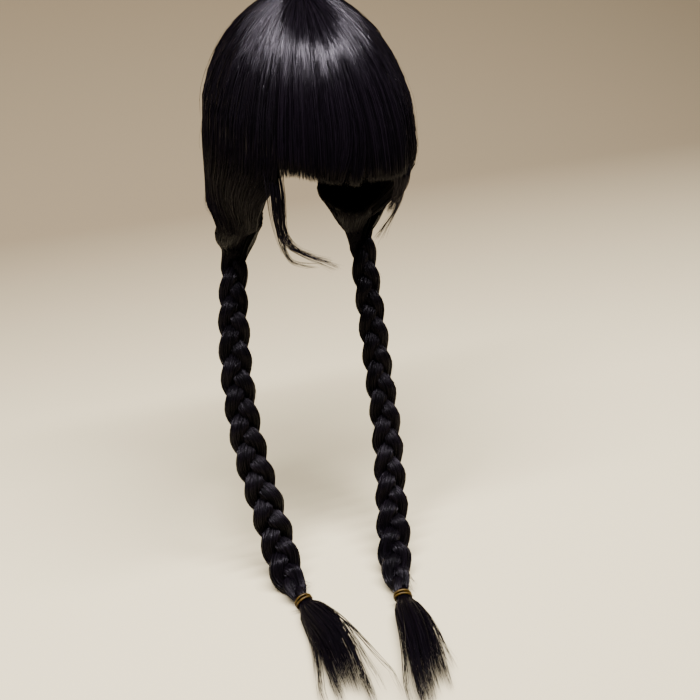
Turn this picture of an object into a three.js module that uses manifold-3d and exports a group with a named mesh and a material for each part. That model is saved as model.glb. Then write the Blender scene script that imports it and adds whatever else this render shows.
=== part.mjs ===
// Long straight wig with a blunt fringe, a parting at the back and two three-strand braids, in the form
// it has on a head. Millimetres, +Z up, the wearer faces -Y and the wearer's right is -X.
// The origin is where the top of the head meets the inside of the cap.
import * as THREE from "three";
import { mergeVertices } from "three/addons/utils/BufferGeometryUtils.js";
import Module from "manifold-3d";

const wasm = await Module();
wasm.setup();

// Clearances and walls
const GAP = 0.3;                 // between neighbouring pieces
const WELD = 1e-3;               // points closer than this are one
const CAP_WALL = 1.2;            // net and wefts of the foundation cap
const HAIR_OVER_CAP = 1.9;       // lowest hair above the cap, so that their facets stay clear

// The dome: half an egg down to its widest level, then a skirt that tucks in towards the nape
const HEAD = { halfWidth: 75, halfDepth: 95, top: 0 };
const WIDEST = -117;             // level of the widest ring
const CROWN_BACK = 15;           // the crown lies this far behind the middle of the widest ring
const HAIR_SIDE = 19.5;          // hair and cap over the head, at the widest ring
const HAIR_TOP = 10.5;           // and at the crown
const EGG = 0.05;                // narrower in front, wider behind
const TUCK = 0.42;               // share lost at the nape, 100 mm below the widest ring
const TUCK_BACK = 8;             // power by which that loss keeps to the back
const SKIRT = 100;
const PLAIN = { point: 1, shift: 0 };
const OUTSIDE = { point: 1.14, shift: 2.3 };   // the hair narrows to the crown by a power, and leans left
const COLUMN = 10;               // degrees between the columns of facets
const PARTING = 40;              // degrees from the face to where the fringe meets the sides

// Hems: degrees from the middle of the face, and the level of the lower edge
const CAP_HEM = [
  { angle: 0, level: -62 }, { angle: 40, level: -72 }, { angle: 70, level: -112 },
  { angle: 95, level: -108 }, { angle: 130, level: -146 }, { angle: 180, level: -159 },
];
const CAP_ROWS = 5;
const CROWN_ROWS = 5;
const SIDE_COLUMNS = 13;
const RIB = 0.8;                 // height of the locks that the hair falls into

// Fringe: locks from the crown down to the hem, over a sheet that ends higher up behind them
const FRINGE_ROWS = 6;
const FRINGE_CROWN = 4.5;        // level where the locks begin
const FRINGE_SPLIT = -88;        // level where the sheet ends and the locks part
const FRINGE_HEM_WALL = 5;
const SHEET_INSET = 2;           // the sheet lies this far behind the face of the locks
const LOCK_INSET = 0.5;          // every other lock lies this much deeper
const LOCK_ROWS = 7;
const FRINGE_LOCKS = [
  { from: -39.3, to: -30.4, tipFrom: -39, tipTo: -32.6, hem: -115 },
  { from: -31.4, to: -23.4, tipFrom: -31.4, tipTo: -23.4, hem: -113 },
  { from: -24.4, to: -15.4, tipFrom: -24.4, tipTo: -15.4, hem: -117 },
  { from: -16.4, to: 1.4, tipFrom: -16.4, tipTo: -7.6, hem: -119 },
  { from: 0.4, to: 9.6, tipFrom: -3.2, tipTo: 2.2, hem: -123 },
  { from: 8.6, to: 15.6, tipFrom: 8.4, tipTo: 15.6, hem: -121 },
  { from: 14.6, to: 22.4, tipFrom: 14.6, tipTo: 22.4, hem: -123 },
  { from: 21.4, to: 31, tipFrom: 21.4, tipTo: 31, hem: -126 },
  { from: 30, to: 39.3, tipFrom: 30, tipTo: 38.6, hem: -127 },
];

// Side hair below the widest ring: where its front and back edges lie, in degrees from the middle of the
// face, how far its front edge tucks in towards the neck, how much more on the wearer's left, and its
// thickness there
const SIDE_EDGES = [
  { level: -124, front: 40, back: 180, frontIn: 0, leftIn: 0, frontWall: 7 },
  { level: -136, front: 47, back: 180, frontIn: 2, leftIn: 1, frontWall: 6 },
  { level: -148, front: 52, back: 180, frontIn: 5, leftIn: 2.5, frontWall: 6 },
  { level: -161, front: 56.5, back: 178, frontIn: 9.5, leftIn: 5, frontWall: 7 },
  { level: -174, front: 61, back: 167, frontIn: 15, leftIn: 9, frontWall: 8 },
  { level: -185, front: 66, back: 150, frontIn: 21, leftIn: 11, frontWall: 9 },
];
const FRONT_REACH = 0.5;         // share of the way to the back over which the front edge has its effect
const FRONT_WALL_ONSET = 3;      // power by which the front edge thins from the crown to the widest ring

// Bunch that gathers each side of the hair behind the ear, given with x outwards, and how much further in
// the wearer's left bunch lies
const BUNCH_LEAN = { front: 12, back: 22 };   // degrees that it is turned in, along the curve of the head
const BUNCH_HALF = 110;          // degrees from its outside to where the outer hair meets the inner hair
const BUNCH = [
  { x: 62.5, y: 1, level: -196, leftIn: 8, halfAcross: 18.5, front: 35, back: 54 },
  { x: 64.5, y: 8, level: -208, leftIn: 6, halfAcross: 20.5, front: 27, back: 40 },
  { x: 64, y: 14.5, level: -222, leftIn: 3, halfAcross: 19, front: 19, back: 26 },
  { x: 63, y: 17, level: -232, leftIn: 1, halfAcross: 14.5, front: 13, back: 14.5 },
];

// Routes of the braids, from the bunch over the shoulder to the table, and on along the loose tail
const RIGHT_ROUTE = [
  { x: -64.5, y: 18, z: -239 }, { x: -74.5, y: -4, z: -277 }, { x: -81.5, y: -28, z: -317 },
  { x: -85, y: -51, z: -359 }, { x: -84, y: -74, z: -402 }, { x: -78, y: -98, z: -446 },
  { x: -73, y: -118, z: -481 }, { x: -72, y: -146, z: -503 }, { x: -68.5, y: -177, z: -507 },
  { x: -62.5, y: -238, z: -505.5 }, { x: -65, y: -316, z: -511 },
];
const LEFT_ROUTE = [
  { x: 64.5, y: 18, z: -239 }, { x: 62, y: -4, z: -279 }, { x: 60, y: -28, z: -322 },
  { x: 58, y: -52, z: -366 }, { x: 55.5, y: -78, z: -410 }, { x: 49.5, y: -104, z: -450 },
  { x: 41.5, y: -134, z: -485 }, { x: 29, y: -170, z: -503.5 }, { x: 22, y: -203, z: -507 },
  { x: 13, y: -265, z: -505.5 }, { x: 0, y: -342, z: -511 },
];
const BAND_ROW = 8;              // the row of each route where the rubber band sits
const ROUTE_STEPS = 40;          // steps between two rows when a route is measured
const BRAID_FACE = new THREE.Vector3(-0.1, -0.9, 0.42);   // the way the flat of each braid looks

// Each strand swings from side to side once while it passes over and under twice, and is pressed flat
// where it meets the other two
const BRAID_PITCH = 84;
const SWING = 7.3;
const WEAVE = 5.4;
const STRAND = { halfWidth: 9.2, halfDepth: 7.5 };
const STRAND_FLAT = STRAND.halfDepth / STRAND.halfWidth;
const STRANDS = [1, 2, 3];
const STRAND_SIDES = 8;
const STEPS_PER_PITCH = 14;
const STRAND_GAP = 0.8;
const BRAID_FULLNESS = [
  { at: 0, right: 0.74, left: 0.74 }, { at: 0.1, right: 0.84, left: 0.8 },
  { at: 0.3, right: 0.95, left: 0.86 }, { at: 0.6, right: 1.03, left: 0.92 },
  { at: 0.78, right: 1.06, left: 1 }, { at: 0.91, right: 1, left: 0.98 }, { at: 1, right: 0.4, left: 0.4 },
];

// Rubber band, two turns that cross, and the loose tail that it ties off
const BAND = { cord: 1.15, slack: 1.04, tilt: 9, along: 5, spread: 1.35, sides: 6, steps: 12 };
const TAIL_SIDES = 10;
const TAIL_BODY = [
  { along: 0, halfAcross: 6.4, halfUp: 4.8 }, { along: 9.5, halfAcross: 6.4, halfUp: 4.8 },
  { along: 20, halfAcross: 13, halfUp: 7.6 }, { along: 36, halfAcross: 16.5, halfUp: 8.6 },
  { along: 60, halfAcross: 17.5, halfUp: 8.2 }, { along: 86, halfAcross: 14, halfUp: 6.4 },
  { along: 110, halfAcross: 7, halfUp: 4 },
];
const TAIL_LOCK = { start: 40, sides: 6, steps: 5, tip: 0.12, flat: 0.7, spread: 0.6 };
const TAIL_LOCKS = [
  { across: -16, up: -1.5, reach: 112, half: 5.4 }, { across: -10, up: 1, reach: 124, half: 6.2 },
  { across: -3, up: -0.5, reach: 138, half: 6.8 }, { across: 4, up: 1.2, reach: 132, half: 6.8 },
  { across: 11, up: -0.5, reach: 124, half: 6.2 }, { across: 17, up: 0.5, reach: 108, half: 5.4 },
];

// Free locks in front of the ears: centre points, and half sizes across and deep
const FACE_LOCK_SIDES = 6;
const RIGHT_LOCK = [
  { x: -56.5, y: -100.5, z: -129.5, across: 5, deep: 3 },
  { x: -57, y: -103.5, z: -148, across: 5.4, deep: 3 },
  { x: -56.5, y: -106, z: -162, across: 4.6, deep: 2.6 },
  { x: -51.5, y: -109, z: -175, across: 3, deep: 2 },
  { x: -38, y: -116, z: -184, across: 2, deep: 1.5 }, { x: -22, y: -122, z: -191, across: 1.4, deep: 1.1 },
  { x: -11, y: -126, z: -196.5, across: 0.7, deep: 0.6 },
];
const RIGHT_CURL = [
  { x: -55, y: -106, z: -168, across: 2, deep: 1.5 }, { x: -53.5, y: -109, z: -180, across: 1.6, deep: 1.2 },
  { x: -50, y: -110.5, z: -191, across: 1.2, deep: 1 }, { x: -39, y: -112, z: -197, across: 0.6, deep: 0.5 },
];
const LEFT_LOCK = [
  { x: 58, y: -98, z: -130.5, across: 6, deep: 3 }, { x: 56.5, y: -97, z: -142, across: 5.6, deep: 2.8 },
  { x: 53, y: -95.5, z: -152, across: 3.6, deep: 2.2 }, { x: 48, y: -93, z: -164, across: 0.8, deep: 0.7 },
];
const LEFT_WISP = [
  { x: 60.5, y: -94.5, z: -138, across: 1.8, deep: 1.6 }, { x: 61, y: -86, z: -156, across: 1.5, deep: 1.3 },
  { x: 55, y: -86, z: -171, across: 1.2, deep: 1 }, { x: 44, y: -93, z: -181, across: 0.9, deep: 0.8 },
  { x: 34, y: -100, z: -187.5, across: 0.6, deep: 0.5 },
];

const MATERIALS = {
  hair: { color: 0x15131a, roughness: 0.38, metalness: 0 },
  net: { color: 0x17161a, roughness: 0.9, metalness: 0 },
  rubber: { color: 0xc39a55, roughness: 0.35, metalness: 0 },
};

const RIGHT = -1;
const LEFT = 1;
const radians = THREE.MathUtils.degToRad;

// Value of a column at a place along a table, straight between its rows
function tableValue(rows, key, column, place) {
  let k = 0;
  while (k < rows.length - 2 && place > rows[k + 1][key]) k++;
  const share = (place - rows[k][key]) / (rows[k + 1][key] - rows[k][key]);
  return THREE.MathUtils.lerp(rows[k][column], rows[k + 1][column], THREE.MathUtils.clamp(share, 0, 1));
}

// The dome of the head, grown outwards by one amount at the sides and another at the crown
function domeForm(side, top, shape = PLAIN) {
  const { halfWidth, halfDepth } = HEAD;
  return { halfWidth: halfWidth + side, halfDepth: halfDepth + side, top: HEAD.top + top, ...shape };
}

const CAP_INNER = domeForm(0, 0);
const CAP_OUTER = domeForm(CAP_WALL, CAP_WALL);
const HAIR_INNER = domeForm(CAP_WALL + HAIR_OVER_CAP, CAP_WALL + HAIR_OVER_CAP);

// A point of a dome: fall is 0 at the crown, 1 at the widest ring and goes on down the skirt
function domePoint(form, degrees, fall) {
  const turn = radians(degrees);
  const bend = Math.min(fall, 1) * Math.PI / 2;
  const below = Math.max(fall - 1, 0);
  const tuck = TUCK * ((1 - Math.cos(turn)) / 2) ** TUCK_BACK * below ** 2;
  const spread = Math.sin(bend) ** form.point * (1 - tuck);
  return new THREE.Vector3(
    (form.halfWidth * Math.sin(turn) * (1 - EGG * Math.cos(turn)) + form.shift) * spread,
    -CROWN_BACK * (1 - Math.cos(bend)) - form.halfDepth * Math.cos(turn) * spread,
    form.top - (form.top - WIDEST) * (1 - Math.cos(bend)) - SKIRT * below);
}

function fallAt(form, level) {
  if (level <= WIDEST) return 1 + (WIDEST - level) / SKIRT;
  return Math.acos(1 - (form.top - level) / (form.top - WIDEST)) / (Math.PI / 2);
}

// Closed body through loops of equal count, the end loops closed across like a ladder unless it is a ring
function loft(loops, ring = false) {
  const count = loops[0].length;
  const triangles = [];
  const quad = (a, b, c, d) => triangles.push([a, b, c], [a, c, d]);
  const spans = ring ? loops.length : loops.length - 1;
  for (let i = 0; i < spans; i++) {
    const here = i * count;
    const next = ((i + 1) % loops.length) * count;
    for (let k = 0; k < count; k++) {
      const after = (k + 1) % count;
      quad(here + k, here + after, next + after, next + k);
    }
  }
  const end = (loops.length - 1) * count;
  for (let k = 0; !ring && k < count / 2 - 1; k++) {
    const far = count - 1 - k;
    quad(far, far - 1, k + 1, k);
    quad(end + k, end + k + 1, end + far - 1, end + far);
  }
  return closedGeometry(loops.flat(), triangles);
}

// Geometry of merged points, without the triangles that fall to nothing, facing outwards
function closedGeometry(points, triangles) {
  const loose = new THREE.BufferGeometry().setFromPoints(points);
  loose.setIndex(triangles.flat());
  const merged = mergeVertices(loose, WELD);
  const at = (i) => new THREE.Vector3().fromBufferAttribute(merged.attributes.position, i);
  const index = merged.index.array;
  const kept = [];
  let volume = 0;
  for (let i = 0; i < index.length; i += 3) {
    const [a, b, c] = index.slice(i, i + 3);
    if (a === b || b === c || c === a) continue;
    kept.push([a, b, c]);
    volume += at(a).dot(at(b).cross(at(c)));
  }
  merged.setIndex(kept.flatMap(([a, b, c]) => (volume > 0 ? [a, b, c] : [a, c, b])));
  return merged;
}

function solidOf(geometry) {
  return new wasm.Manifold(new wasm.Mesh({
    numProp: 3,
    vertProperties: new Float32Array(geometry.attributes.position.array),
    triVerts: new Uint32Array(geometry.index.array),
  }));
}

function geometryOf(solid) {
  const mesh = solid.getMesh();
  const geometry = new THREE.BufferGeometry();
  geometry.setAttribute("position", new THREE.BufferAttribute(mesh.vertProperties, 3));
  geometry.setIndex(new THREE.BufferAttribute(mesh.triVerts, 1));
  return geometry;
}

// Several closed geometries joined into one body
function fuse(geometries) {
  return geometryOf(geometries.map(solidOf).reduce((whole, solid) => whole.add(solid)));
}

// Closed ellipse in the plane of two directions
function ellipse(centre, across, halfAcross, deep, halfDeep, sides) {
  return Array.from({ length: sides }, (_, k) => {
    const turn = (k + 0.5) / sides * Math.PI * 2;
    return centre.clone().addScaledVector(across, halfAcross * Math.cos(turn))
      .addScaledVector(deep, halfDeep * Math.sin(turn));
  });
}

// Section of a shell down one meridian: the outer face to the hem, then the inner face back to the crown
function meridian(outerAt, innerAt, rows) {
  const shares = Array.from({ length: rows + 1 }, (_, j) => j / rows);
  return [...shares.map(outerAt), ...shares.reverse().map(innerAt)];
}

// Foundation cap: a thin closed dome with its own hem
function capGeometry() {
  const sections = [];
  for (let degrees = 0; degrees < 360; degrees += COLUMN) {
    const level = tableValue(CAP_HEM, "angle", "level", Math.min(degrees, 360 - degrees));
    const at = (form) => (share) => domePoint(form, degrees, share * fallAt(form, level));
    sections.push(meridian(at(CAP_OUTER), at(CAP_INNER), CAP_ROWS));
  }
  return loft(sections, true);
}

// Point of an ellipse that is turned about its centre's upright
function turnedEllipse(centre, across, halfAcross, deep, halfDeep, degrees) {
  return centre.clone().addScaledVector(across, halfAcross * Math.cos(radians(degrees)))
    .addScaledVector(deep, halfDeep * Math.sin(radians(degrees)));
}

// Side hair: a thick shell from the fringe to the parting at the back, which closes into its bunch below
function sideGeometry(hand, route) {
  const shares = Array.from({ length: SIDE_COLUMNS + 1 }, (_, i) => i / SIDE_COLUMNS);
  const clear = new THREE.Vector3(hand * GAP, 0, 0);
  const least = CAP_WALL + HAIR_OVER_CAP;
  const shellLoop = ({ front, back, frontIn, leftIn, frontWall }, fallOf, ribShare) => {
    const at = (side, top, share, shape) => {
      const form = domeForm(side, top, shape);
      const angle = THREE.MathUtils.lerp(front, back, share);
      return domePoint(form, hand * angle, fallOf(form)).add(clear);
    };
    const edge = HAIR_SIDE - frontIn - (hand === LEFT ? leftIn : 0);
    const ease = (share) => THREE.MathUtils.smoothstep(share, 0, FRONT_REACH);
    const outer = shares.map((share, i) => at(THREE.MathUtils.lerp(edge, HAIR_SIDE, ease(share))
      + (i % 2 ? -RIB : RIB) * ribShare, HAIR_TOP, share, OUTSIDE));
    const innerSide = (share) => THREE.MathUtils.lerp(edge - frontWall, least, ease(share));
    const inner = shares.map((share) => at(innerSide(share), least, share, PLAIN));
    return [...outer, ...inner.reverse()];
  };
  const loops = [];
  for (let j = 0; j <= CROWN_ROWS; j++) {
    const fall = j / CROWN_ROWS;
    const thinning = fall ** FRONT_WALL_ONSET;
    const frontWall = THREE.MathUtils.lerp(HAIR_SIDE - least, SIDE_EDGES[0].frontWall, thinning);
    loops.push(shellLoop({ front: PARTING, back: 180, frontIn: 0, leftIn: 0, frontWall }, () => fall, fall));
  }
  for (const row of SIDE_EDGES) {
    loops.push(shellLoop(row, (form) => fallAt(form, row.level), 1));
  }
  const ring = [...shares.map((share) => THREE.MathUtils.lerp(-BUNCH_HALF, BUNCH_HALF, share)),
    ...shares.map((share) => THREE.MathUtils.lerp(BUNCH_HALF, 360 - BUNCH_HALF, share))];
  const upright = new THREE.Vector3(0, 0, 1);
  const leant = (x, y, half) => new THREE.Vector3(x, y, 0)
    .applyAxisAngle(upright, radians(hand * BUNCH_LEAN[half]));
  const across = leant(hand, 0, "front");
  for (const row of BUNCH) {
    const out = row.x - (hand === LEFT ? row.leftIn : 0);
    const centre = new THREE.Vector3(hand * out, row.y, row.level);
    loops.push(ring.map((turn) => {
      const half = Math.sin(radians(turn)) < 0 ? "front" : "back";
      return turnedEllipse(centre, across, row.halfAcross, leant(0, 1, half), row[half], turn);
    }));
  }
  const start = routeFrame(route, 0);
  const size = BRAID_FULLNESS[0][route.side];
  const end = start.centre.addScaledVector(start.along, -GAP);
  const outwards = start.across.multiplyScalar(hand * Math.sign(start.across.x));
  loops.push(ring.map((turn) => turnedEllipse(end, outwards, (SWING + STRAND.halfWidth) * size,
    start.face.clone().negate(), (WEAVE + STRAND.halfDepth) * size, turn)));
  return loft(loops);
}

// Fringe: a row of locks that fall from the crown, fused to the sheet behind them
function fringeGeometry() {
  const clear = new THREE.Vector3(0, -GAP * 2, 0);
  const sheetOuter = domeForm(HAIR_SIDE - SHEET_INSET, HAIR_TOP - SHEET_INSET, OUTSIDE);
  const sheet = [];
  for (let degrees = -PARTING; degrees <= PARTING; degrees += COLUMN) {
    const at = (form) => (share) => domePoint(form, degrees, share * fallAt(form, FRINGE_SPLIT)).add(clear);
    sheet.push(meridian(at(sheetOuter), at(HAIR_INNER), FRINGE_ROWS));
  }
  const locks = FRINGE_LOCKS.map((row, k) => loft([0, 0.5, 1].map((place) => {
    const depth = LOCK_INSET * (k % 2) - (place === 0.5 ? RIB : 0);
    const at = (form, share) => {
      const first = fallAt(form, FRINGE_CROWN);
      const fall = THREE.MathUtils.lerp(first, fallAt(form, row.hem), share);
      const parted = THREE.MathUtils.clamp((fall - fallAt(form, FRINGE_SPLIT))
        / (fallAt(form, row.hem) - fallAt(form, FRINGE_SPLIT)), 0, 1);
      const from = THREE.MathUtils.lerp(row.from, row.tipFrom, parted);
      const to = THREE.MathUtils.lerp(row.to, row.tipTo, parted);
      return domePoint(form, THREE.MathUtils.lerp(from, to, place), fall).add(clear);
    };
    const outer = domeForm(HAIR_SIDE - depth, HAIR_TOP - LOCK_INSET, OUTSIDE);
    const inner = domeForm(HAIR_SIDE - FRINGE_HEM_WALL - depth, HAIR_TOP - FRINGE_HEM_WALL, OUTSIDE);
    return meridian((share) => at(outer, share), (share) => at(inner, share), LOCK_ROWS);
  })));
  return fuse([loft(sheet), ...locks]);
}

// A braid's route with its lengths, and the moving frame along it
function braidRoute(side, rows) {
  const curve = new THREE.CatmullRomCurve3(rows.map((row) => new THREE.Vector3(row.x, row.y, row.z)));
  const lengths = curve.getLengths((rows.length - 1) * ROUTE_STEPS);
  return { side, curve, length: lengths.at(-1), band: lengths[BAND_ROW * ROUTE_STEPS] };
}

function routeFrame(route, distance) {
  const share = THREE.MathUtils.clamp(distance / route.length, 0, 1);
  const along = route.curve.getTangentAt(share);
  const face = BRAID_FACE.clone().addScaledVector(along, -BRAID_FACE.dot(along)).normalize();
  const across = new THREE.Vector3().crossVectors(face, along).normalize();
  return { centre: route.curve.getPointAt(share), along, face, across };
}

// Where the middle of a strand lies in the braid's cross-section, its depth stretched to make strands round
function strandMiddle(turns, strand) {
  const phase = Math.PI * 2 * (turns + strand / STRANDS.length);
  return new THREE.Vector2(SWING * Math.sin(phase), WEAVE / STRAND_FLAT * Math.sin(2 * phase));
}

// Section of one strand: a circle cut back to the walls halfway to its neighbours, as these stand half a step
// before and half a step after it, so that the facets between two sections stay clear too
function strandSection(turns, strand) {
  const middle = strandMiddle(turns, strand);
  const walls = [];
  for (const when of [turns - 0.5 / STEPS_PER_PITCH, turns + 0.5 / STEPS_PER_PITCH]) {
    for (const other of STRANDS.filter((k) => k !== strand)) {
      const near = strandMiddle(when, strand);
      const far = strandMiddle(when, other);
      const normal = far.clone().sub(near).normalize();
      walls.push({ normal, room: normal.dot(near.add(far)) / 2 - STRAND_GAP / 2 - normal.dot(middle) });
    }
  }
  return Array.from({ length: STRAND_SIDES }, (_, k) => {
    const turn = k / STRAND_SIDES * Math.PI * 2;
    const out = new THREE.Vector2(Math.cos(turn), Math.sin(turn));
    const facing = walls.filter((wall) => out.dot(wall.normal) > 0);
    const reach = Math.min(STRAND.halfWidth, ...facing.map((wall) => wall.room / out.dot(wall.normal)));
    return out.multiplyScalar(reach).add(middle);
  });
}

// One strand of a braid, its sections square to the route
function strandGeometry(route, strand) {
  const steps = Math.round(route.band / BRAID_PITCH * STEPS_PER_PITCH);
  const loops = Array.from({ length: steps + 1 }, (_, i) => {
    const { centre, face, across } = routeFrame(route, i / steps * route.band);
    const size = tableValue(BRAID_FULLNESS, "at", route.side, i / steps);
    return strandSection(i / STEPS_PER_PITCH, strand).map((point) => centre.clone()
      .addScaledVector(across, size * point.x).addScaledVector(face, size * STRAND_FLAT * point.y));
  });
  return loft(loops);
}

// Two turns of the rubber band, crossed over the neck of the tail
function bandGeometry(route) {
  const { centre, along, face, across } = routeFrame(route, route.band + BAND.along);
  const neck = TAIL_BODY[0];
  const clear = BAND.cord + GAP;
  const turns = [-1, 1].map((way) => {
    const ring = Array.from({ length: BAND.steps }, (_, i) => {
      const turn = i / BAND.steps * Math.PI * 2;
      const lean = way * (BAND.spread + Math.tan(radians(BAND.tilt)) * neck.halfUp * Math.sin(turn));
      const out = across.clone().multiplyScalar(Math.cos(turn)).addScaledVector(face, Math.sin(turn));
      const middle = centre.clone().addScaledVector(along, lean)
        .addScaledVector(across, (neck.halfAcross + clear) * BAND.slack * Math.cos(turn))
        .addScaledVector(face, (neck.halfUp + clear) * BAND.slack * Math.sin(turn));
      return ellipse(middle, out, BAND.cord, along, BAND.cord, BAND.sides);
    });
    return loft(ring, true);
  });
  return fuse(turns);
}

// Loose tail: a neck and a spreading body, with locks that run on to the tips
function tailGeometry(route) {
  const section = (distance, across, up, halfAcross, halfUp, sides) => {
    const frame = routeFrame(route, route.band + GAP + distance);
    frame.centre.addScaledVector(frame.across, across).addScaledVector(frame.face, up);
    return ellipse(frame.centre, frame.across, halfAcross, frame.face, halfUp, sides);
  };
  const body = loft(TAIL_BODY.map((row) => section(row.along, 0, 0, row.halfAcross, row.halfUp, TAIL_SIDES)));
  const locks = TAIL_LOCKS.map((row) => loft(Array.from({ length: TAIL_LOCK.steps + 1 }, (_, i) => {
    const share = i / TAIL_LOCK.steps;
    const size = row.half * THREE.MathUtils.lerp(1, TAIL_LOCK.tip, share ** 2);
    const spread = THREE.MathUtils.lerp(TAIL_LOCK.spread, 1, share);
    return section(THREE.MathUtils.lerp(TAIL_LOCK.start, row.reach, share), row.across * spread, row.up,
      size, size * TAIL_LOCK.flat, TAIL_LOCK.sides);
  })));
  return fuse([body, ...locks]);
}

// A free lock through a short table of centres and half sizes
function wispGeometry(rows) {
  const points = rows.map((row) => new THREE.Vector3(row.x, row.y, row.z));
  const curve = new THREE.CatmullRomCurve3(points);
  const steps = (rows.length - 1) * 2;
  const loops = Array.from({ length: steps + 1 }, (_, i) => {
    const place = i / steps * (rows.length - 1);
    const row = Math.min(Math.floor(place), rows.length - 2);
    const size = (column) => THREE.MathUtils.lerp(rows[row][column], rows[row + 1][column], place - row);
    const along = i === 0 ? new THREE.Vector3(0, 0, -1) : curve.getTangent(i / steps);
    const deep = new THREE.Vector3(0, -1, 0).addScaledVector(along, along.y).normalize();
    const across = new THREE.Vector3().crossVectors(deep, along).normalize();
    return ellipse(curve.getPoint(i / steps), across, size("across"), deep, size("deep"), FACE_LOCK_SIDES);
  });
  return loft(loops);
}

const wig = new THREE.Group();

function addPiece(name, geometry, look) {
  const plain = geometry.toNonIndexed();
  plain.computeVertexNormals();
  const piece = new THREE.Mesh(mergeVertices(plain), new THREE.MeshStandardMaterial(MATERIALS[look]));
  piece.name = name;
  wig.add(piece);
}

addPiece("wig_cap", capGeometry(), "net");
addPiece("fringe", fringeGeometry(), "hair");
addPiece("face_lock_right", fuse([wispGeometry(RIGHT_LOCK), wispGeometry(RIGHT_CURL)]), "hair");
addPiece("face_lock_left", fuse([wispGeometry(LEFT_LOCK), wispGeometry(LEFT_WISP)]), "hair");
const sides = [
  { side: "right", hand: RIGHT, rows: RIGHT_ROUTE },
  { side: "left", hand: LEFT, rows: LEFT_ROUTE },
];
for (const { side, hand, rows } of sides) {
  const route = braidRoute(side, rows);
  addPiece(`side_hair_${side}`, sideGeometry(hand, route), "hair");
  for (const strand of STRANDS) {
    addPiece(`braid_${side}_strand_${strand}`, strandGeometry(route, strand), "hair");
  }
  addPiece(`elastic_band_${side}`, bandGeometry(route), "rubber");
  addPiece(`tail_${side}`, tailGeometry(route), "hair");
}

export default wig;
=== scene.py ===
import bmesh
import bpy
import numpy as np
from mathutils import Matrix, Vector


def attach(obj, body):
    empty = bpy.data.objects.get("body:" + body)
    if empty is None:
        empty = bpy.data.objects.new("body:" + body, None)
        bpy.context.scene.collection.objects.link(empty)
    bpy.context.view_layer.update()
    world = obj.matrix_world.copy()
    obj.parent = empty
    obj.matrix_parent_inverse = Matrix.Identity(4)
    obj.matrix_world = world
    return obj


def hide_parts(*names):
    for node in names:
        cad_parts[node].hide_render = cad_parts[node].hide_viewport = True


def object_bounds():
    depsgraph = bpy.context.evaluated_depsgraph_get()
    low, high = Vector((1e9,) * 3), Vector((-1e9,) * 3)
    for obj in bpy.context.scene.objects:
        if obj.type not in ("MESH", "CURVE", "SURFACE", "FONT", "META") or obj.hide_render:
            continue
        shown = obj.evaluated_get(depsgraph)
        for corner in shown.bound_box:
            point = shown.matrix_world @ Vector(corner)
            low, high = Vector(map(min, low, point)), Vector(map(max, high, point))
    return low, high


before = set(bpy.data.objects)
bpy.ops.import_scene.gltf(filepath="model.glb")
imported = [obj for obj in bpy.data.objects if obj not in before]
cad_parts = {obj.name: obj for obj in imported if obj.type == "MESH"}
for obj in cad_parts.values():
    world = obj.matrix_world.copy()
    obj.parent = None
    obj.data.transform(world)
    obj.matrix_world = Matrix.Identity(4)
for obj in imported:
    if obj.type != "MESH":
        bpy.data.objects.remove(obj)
cad_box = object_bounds()

# Foundation cap
# A close-fitting cap of soft black stretch net that the hair is sewn to in rows.
# It is one thin double-faced dome, open below, with a narrow bound hem.
MM, WELD = 0.001, 1e-6
HEAD_HALF_WIDTH, HEAD_HALF_DEPTH = 75.0, 95.0
WIDEST, CROWN_BACK, EGG, SKIRT = -117.0, 15.0, 0.05, 100.0
TUCK, TUCK_BACK = 0.42, 8
CAP_WALL = 1.2
CAP_HEM = {"angle": [0, 40, 70, 95, 130, 180], "level": [-62, -72, -112, -108, -146, -159]}


def dome(side, top, degrees, fall, point=1.0, shift=0.0):
    """Points of the cap's dome grown by side and top: fall is 0 at the crown and 1 at the widest ring."""
    turn = np.radians(degrees)
    bend = np.minimum(fall, 1) * np.pi / 2
    below = np.maximum(fall - 1, 0)
    tuck = TUCK * ((1 - np.cos(turn)) / 2) ** TUCK_BACK * below ** 2
    spread = np.sin(bend) ** point * (1 - tuck)
    x = ((HEAD_HALF_WIDTH + side) * np.sin(turn) * (1 - EGG * np.cos(turn)) + shift) * spread
    y = -CROWN_BACK * (1 - np.cos(bend)) - (HEAD_HALF_DEPTH + side) * np.cos(turn) * spread
    z = top - (top - WIDEST) * (1 - np.cos(bend)) - SKIRT * below
    return np.stack(np.broadcast_arrays(x, y, z), axis=-1)


def fall_at(top, level):
    """How far down a dome a level lies."""
    level = np.asarray(level, float)
    upper = np.arccos(np.clip(1 - (top - level) / (top - WIDEST), -1, 1)) / (np.pi / 2)
    return np.where(level <= WIDEST, 1 + (WIDEST - level) / SKIRT, upper)


def wrapped_sheet(name, columns, rows, place):
    """Closed body from a sheet laid by place(a, b), welded where its edges meet and filled at its ends."""
    bm = bmesh.new()
    bm.loops.layers.uv.new("Fibre")
    bmesh.ops.create_grid(bm, x_segments=columns, y_segments=rows, size=1, calc_uvs=True)
    flat = np.array([v.co for v in bm.verts])
    for vert, spot in zip(bm.verts, place((flat[:, 0] + 1) / 2, (flat[:, 1] + 1) / 2) * MM):
        vert.co = spot
    bmesh.ops.remove_doubles(bm, verts=bm.verts[:], dist=WELD)
    bmesh.ops.holes_fill(bm, edges=[e for e in bm.edges if e.is_boundary], sides=0)
    bmesh.ops.recalc_face_normals(bm, faces=bm.faces[:])
    mesh = bpy.data.meshes.new(name)
    bm.to_mesh(mesh)
    bm.free()
    mesh.shade_smooth()
    piece = bpy.data.objects.new(name, mesh)
    bpy.context.collection.objects.link(piece)
    return piece


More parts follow.
